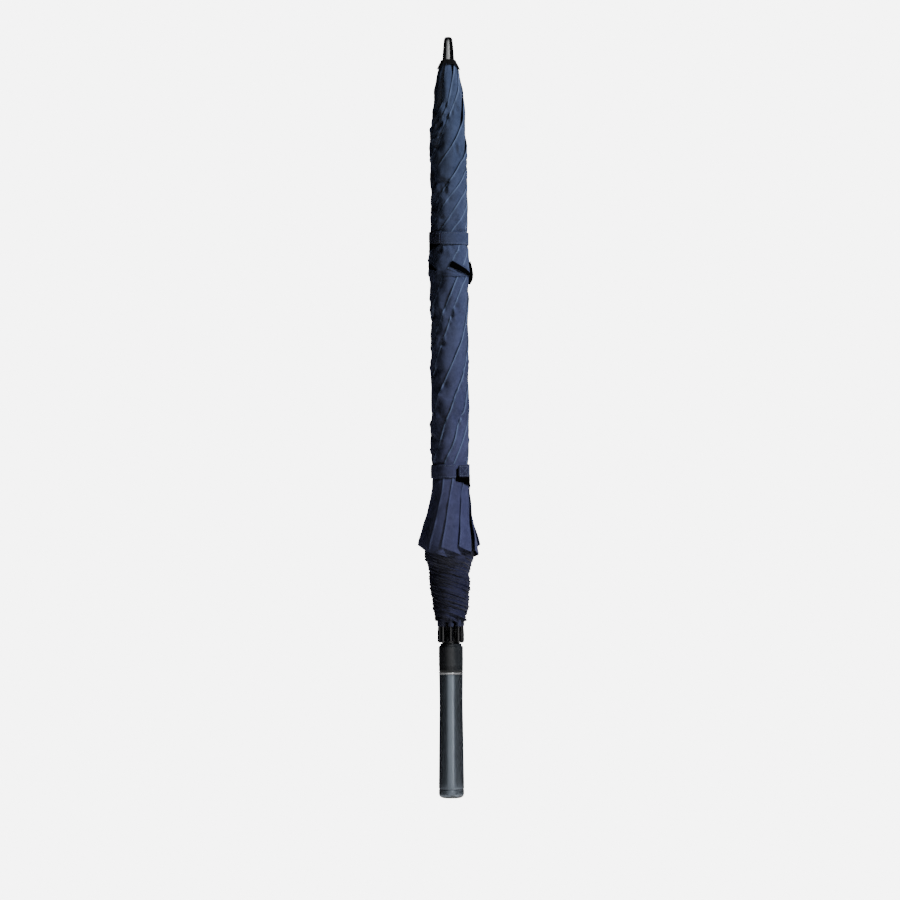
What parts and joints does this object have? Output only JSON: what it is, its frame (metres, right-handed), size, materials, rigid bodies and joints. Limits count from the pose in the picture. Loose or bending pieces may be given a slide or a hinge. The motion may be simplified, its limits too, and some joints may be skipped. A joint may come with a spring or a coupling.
{
  "type": "stick umbrella",
  "caption": "Long straight-handled stick umbrella with a vented double canopy, furled and tied; ribs, stretchers and runner open it.",
  "frame": {"origin": "middle of the flat under the handle's end cap", "axes": "+Z along the shaft from handle to ferrule, -Y towards rib 1"},
  "size_m": [0.0848, 0.0848, 1],
  "materials": {
    "canopy_cloth": "fine plain-weave pongee, navy, slightly creased",
    "band_cloth": "doubled navy pongee with stitched edges",
    "black_cloth": "gathered black cloth",
    "black_plastic": "moulded black, semi-gloss",
    "rib_black": "black fibreglass bar",
    "blued_steel": "dark spring steel",
    "shaft_lacquer": "black lacquered tube",
    "polished_metal": "polished, dark reflections",
    "gunmetal_lacquer": "satin gunmetal metallic lacquer",
    "end_cap": "dark moulded, scuffed"
  },
  "bodies": {
    "frame": {"shaft": "shaft_lacquer", "ferrule": "polished_metal", "top_rosette": "black_cloth", "notch": "black_plastic", "runner_stop": "blued_steel", "handle": "gunmetal_lacquer", "handle_ring": "polished_metal", "handle_end_cap": "end_cap"},
    "runner": {"runner": "black_plastic", "runner_grip": "black_plastic"},
    "bottom_catch": {"bottom_catch": "blued_steel"},
    "top_catch": {"top_catch": "blued_steel"},
    "rib_1": {"rib_1": "rib_black", "rib_tip_1": "black_plastic", "vent_panel_1": "canopy_cloth", "upper_tie_band": "band_cloth"},
    "stretcher_1": {"stretcher_1": "rib_black"},
    "panel_1": {"main_panel_1": "canopy_cloth", "lower_tie_band": "band_cloth"},
    "rib_2": {"rib_2": "rib_black", "rib_tip_2": "black_plastic", "vent_panel_2": "canopy_cloth"},
    "stretcher_2": {"stretcher_2": "rib_black"},
    "panel_2": {"main_panel_2": "canopy_cloth"},
    "rib_3": {"rib_3": "rib_black", "rib_tip_3": "black_plastic", "vent_panel_3": "canopy_cloth"},
    "stretcher_3": {"stretcher_3": "rib_black"},
    "panel_3": {"main_panel_3": "canopy_cloth"},
    "rib_4": {"rib_4": "rib_black", "rib_tip_4": "black_plastic", "vent_panel_4": "canopy_cloth"},
    "stretcher_4": {"stretcher_4": "rib_black"},
    "panel_4": {"main_panel_4": "canopy_cloth"},
    "rib_5": {"rib_5": "rib_black", "rib_tip_5": "black_plastic", "vent_panel_5": "canopy_cloth"},
    "stretcher_5": {"stretcher_5": "rib_black"},
    "panel_5": {"main_panel_5": "canopy_cloth"},
    "rib_6": {"rib_6": "rib_black", "rib_tip_6": "black_plastic", "vent_panel_6": "canopy_cloth"},
    "stretcher_6": {"stretcher_6": "rib_black"},
    "panel_6": {"main_panel_6": "canopy_cloth"},
    "rib_7": {"rib_7": "rib_black", "rib_tip_7": "black_plastic", "vent_panel_7": "canopy_cloth"},
    "stretcher_7": {"stretcher_7": "rib_black"},
    "panel_7": {"main_panel_7": "canopy_cloth"},
    "rib_8": {"rib_8": "rib_black", "rib_tip_8": "black_plastic", "vent_panel_8": "canopy_cloth"},
    "stretcher_8": {"stretcher_8": "rib_black"},
    "panel_8": {"main_panel_8": "canopy_cloth"},
    "lower_band_tab": {"lower_band_tab": "band_cloth"},
    "upper_band_tab": {"upper_band_tab": "band_cloth"}
  },
  "joints": [
    {"name": "runner_slide", "type": "slide", "parent": "frame", "child": "runner", "axis": [0, 0, 1], "range_m": [0, 0.4503], "deforming": ["main_panel_1", "main_panel_2", "main_panel_3", "main_panel_4", "main_panel_5", "main_panel_6", "main_panel_7", "main_panel_8", "vent_panel_1", "vent_panel_2", "vent_panel_3", "vent_panel_4", "vent_panel_5", "vent_panel_6", "vent_panel_7", "vent_panel_8", "lower_tie_band", "upper_tie_band"]},
    {"name": "bottom_catch_press", "type": "hinge", "parent": "frame", "child": "bottom_catch", "pos_m": [-0.00174, 0.00245, 0.205], "axis": [0.8151, 0.5793, 0], "range_deg": [0, 5], "stiffness_Nm_per_rad": 0.02},
    {"name": "top_catch_press", "type": "hinge", "parent": "frame", "child": "top_catch", "pos_m": [-0.00174, 0.00245, 0.5879], "axis": [0.8151, 0.5793, 0], "range_deg": [0, 5], "stiffness_Nm_per_rad": 0.02},
    {"name": "rib_1_hinge", "type": "hinge", "parent": "frame", "child": "rib_1", "pos_m": [0, -0.0094, 0.9555], "axis": [-1, 0, 0], "range_deg": [0, 68]},
    {"name": "stretcher_1_hinge", "type": "hinge", "parent": "runner", "child": "stretcher_1", "pos_m": [0, -0.0094, 0.2355], "axis": [1, 0, 0], "range_deg": [0, 68]},
    {"name": "panel_1_fan", "type": "hinge", "parent": "rib_1", "child": "panel_1", "pos_m": [0.00389, -0.0094, 0.9555], "axis": [0.3248, -0.7841, -0.5289], "range_deg": [0, 49.43]},
    {"name": "rib_2_hinge", "type": "hinge", "parent": "frame", "child": "rib_2", "pos_m": [0.00665, -0.00665, 0.9555], "axis": [-0.7071, -0.7071, 0], "range_deg": [0, 68]},
    {"name": "stretcher_2_hinge", "type": "hinge", "parent": "runner", "child": "stretcher_2", "pos_m": [0.00665, -0.00665, 0.2355], "axis": [0.7071, 0.7071, 0], "range_deg": [0, 68]},
    {"name": "panel_2_fan", "type": "hinge", "parent": "rib_2", "child": "panel_2", "pos_m": [0.0094, -0.00389, 0.9555], "axis": [0.7841, -0.3248, -0.5289], "range_deg": [0, 49.43]},
    {"name": "rib_3_hinge", "type": "hinge", "parent": "frame", "child": "rib_3", "pos_m": [0.0094, 0, 0.9555], "axis": [0, -1, 0], "range_deg": [0, 68]},
    {"name": "stretcher_3_hinge", "type": "hinge", "parent": "runner", "child": "stretcher_3", "pos_m": [0.0094, 0, 0.2355], "axis": [0, 1, 0], "range_deg": [0, 68]},
    {"name": "panel_3_fan", "type": "hinge", "parent": "rib_3", "child": "panel_3", "pos_m": [0.0094, 0.00389, 0.9555], "axis": [0.7841, 0.3248, -0.5289], "range_deg": [0, 49.43]},
    {"name": "rib_4_hinge", "type": "hinge", "parent": "frame", "child": "rib_4", "pos_m": [0.00665, 0.00665, 0.9555], "axis": [0.7071, -0.7071, 0], "range_deg": [0, 68]},
    {"name": "stretcher_4_hinge", "type": "hinge", "parent": "runner", "child": "stretcher_4", "pos_m": [0.00665, 0.00665, 0.2355], "axis": [-0.7071, 0.7071, 0], "range_deg": [0, 68]},
    {"name": "panel_4_fan", "type": "hinge", "parent": "rib_4", "child": "panel_4", "pos_m": [0.00389, 0.0094, 0.9555], "axis": [0.3248, 0.7841, -0.5289], "range_deg": [0, 49.43]},
    {"name": "rib_5_hinge", "type": "hinge", "parent": "frame", "child": "rib_5", "pos_m": [0, 0.0094, 0.9555], "axis": [1, 0, 0], "range_deg": [0, 68]},
    {"name": "stretcher_5_hinge", "type": "hinge", "parent": "runner", "child": "stretcher_5", "pos_m": [0, 0.0094, 0.2355], "axis": [-1, 0, 0], "range_deg": [0, 68]},
    {"name": "panel_5_fan", "type": "hinge", "parent": "rib_5", "child": "panel_5", "pos_m": [-0.00389, 0.0094, 0.9555], "axis": [-0.3248, 0.7841, -0.5289], "range_deg": [0, 49.43]},
    {"name": "rib_6_hinge", "type": "hinge", "parent": "frame", "child": "rib_6", "pos_m": [-0.00665, 0.00665, 0.9555], "axis": [0.7071, 0.7071, 0], "range_deg": [0, 68]},
    {"name": "stretcher_6_hinge", "type": "hinge", "parent": "runner", "child": "stretcher_6", "pos_m": [-0.00665, 0.00665, 0.2355], "axis": [-0.7071, -0.7071, 0], "range_deg": [0, 68]},
    {"name": "panel_6_fan", "type": "hinge", "parent": "rib_6", "child": "panel_6", "pos_m": [-0.0094, 0.00389, 0.9555], "axis": [-0.7841, 0.3248, -0.5289], "range_deg": [0, 49.43]},
    {"name": "rib_7_hinge", "type": "hinge", "parent": "frame", "child": "rib_7", "pos_m": [-0.0094, 0, 0.9555], "axis": [0, 1, 0], "range_deg": [0, 68]},
    {"name": "stretcher_7_hinge", "type": "hinge", "parent": "runner", "child": "stretcher_7", "pos_m": [-0.0094, 0, 0.2355], "axis": [0, -1, 0], "range_deg": [0, 68]},
    {"name": "panel_7_fan", "type": "hinge", "parent": "rib_7", "child": "panel_7", "pos_m": [-0.0094, -0.00389, 0.9555], "axis": [-0.7841, -0.3248, -0.5289], "range_deg": [0, 49.43]},
    {"name": "rib_8_hinge", "type": "hinge", "parent": "frame", "child": "rib_8", "pos_m": [-0.00665, -0.00665, 0.9555], "axis": [-0.7071, 0.7071, 0], "range_deg": [0, 68]},
    {"name": "stretcher_8_hinge", "type": "hinge", "parent": "runner", "child": "stretcher_8", "pos_m": [-0.00665, -0.00665, 0.2355], "axis": [0.7071, -0.7071, 0], "range_deg": [0, 68]},
    {"name": "panel_8_fan", "type": "hinge", "parent": "rib_8", "child": "panel_8", "pos_m": [-0.00389, -0.0094, 0.9555], "axis": [-0.3248, -0.7841, -0.5289], "range_deg": [0, 49.43]},
    {"name": "lower_tab_peel", "type": "hinge", "parent": "panel_1", "child": "lower_band_tab", "pos_m": [0.02392, -0.00966, 0.42], "axis": [0, 0, 1], "range_deg": [0, 90]},
    {"name": "upper_tab_peel", "type": "hinge", "parent": "rib_1", "child": "upper_band_tab", "pos_m": [-0.0248, -0.00711, 0.7245], "axis": [0, 0, -1], "range_deg": [0, 90]}
  ],
  "couplings": [
    {"joint": "rib_1_hinge", "follows": "runner_slide", "rad_per_m": 2.6356},
    {"joint": "stretcher_1_hinge", "follows": "runner_slide", "rad_per_m": 2.6356},
    {"joint": "panel_1_fan", "follows": "runner_slide", "rad_per_m": 1.9157},
    {"joint": "rib_2_hinge", "follows": "runner_slide", "rad_per_m": 2.6356},
    {"joint": "stretcher_2_hinge", "follows": "runner_slide", "rad_per_m": 2.6356},
    {"joint": "panel_2_fan", "follows": "runner_slide", "rad_per_m": 1.9157},
    {"joint": "rib_3_hinge", "follows": "runner_slide", "rad_per_m": 2.6356},
    {"joint": "stretcher_3_hinge", "follows": "runner_slide", "rad_per_m": 2.6356},
    {"joint": "panel_3_fan", "follows": "runner_slide", "rad_per_m": 1.9157},
    {"joint": "rib_4_hinge", "follows": "runner_slide", "rad_per_m": 2.6356},
    {"joint": "stretcher_4_hinge", "follows": "runner_slide", "rad_per_m": 2.6356},
    {"joint": "panel_4_fan", "follows": "runner_slide", "rad_per_m": 1.9157},
    {"joint": "rib_5_hinge", "follows": "runner_slide", "rad_per_m": 2.6356},
    {"joint": "stretcher_5_hinge", "follows": "runner_slide", "rad_per_m": 2.6356},
    {"joint": "panel_5_fan", "follows": "runner_slide", "rad_per_m": 1.9157},
    {"joint": "rib_6_hinge", "follows": "runner_slide", "rad_per_m": 2.6356},
    {"joint": "stretcher_6_hinge", "follows": "runner_slide", "rad_per_m": 2.6356},
    {"joint": "panel_6_fan", "follows": "runner_slide", "rad_per_m": 1.9157},
    {"joint": "rib_7_hinge", "follows": "runner_slide", "rad_per_m": 2.6356},
    {"joint": "stretcher_7_hinge", "follows": "runner_slide", "rad_per_m": 2.6356},
    {"joint": "panel_7_fan", "follows": "runner_slide", "rad_per_m": 1.9157},
    {"joint": "rib_8_hinge", "follows": "runner_slide", "rad_per_m": 2.6356},
    {"joint": "stretcher_8_hinge", "follows": "runner_slide", "rad_per_m": 2.6356},
    {"joint": "panel_8_fan", "follows": "runner_slide", "rad_per_m": 1.9157}
  ]
}
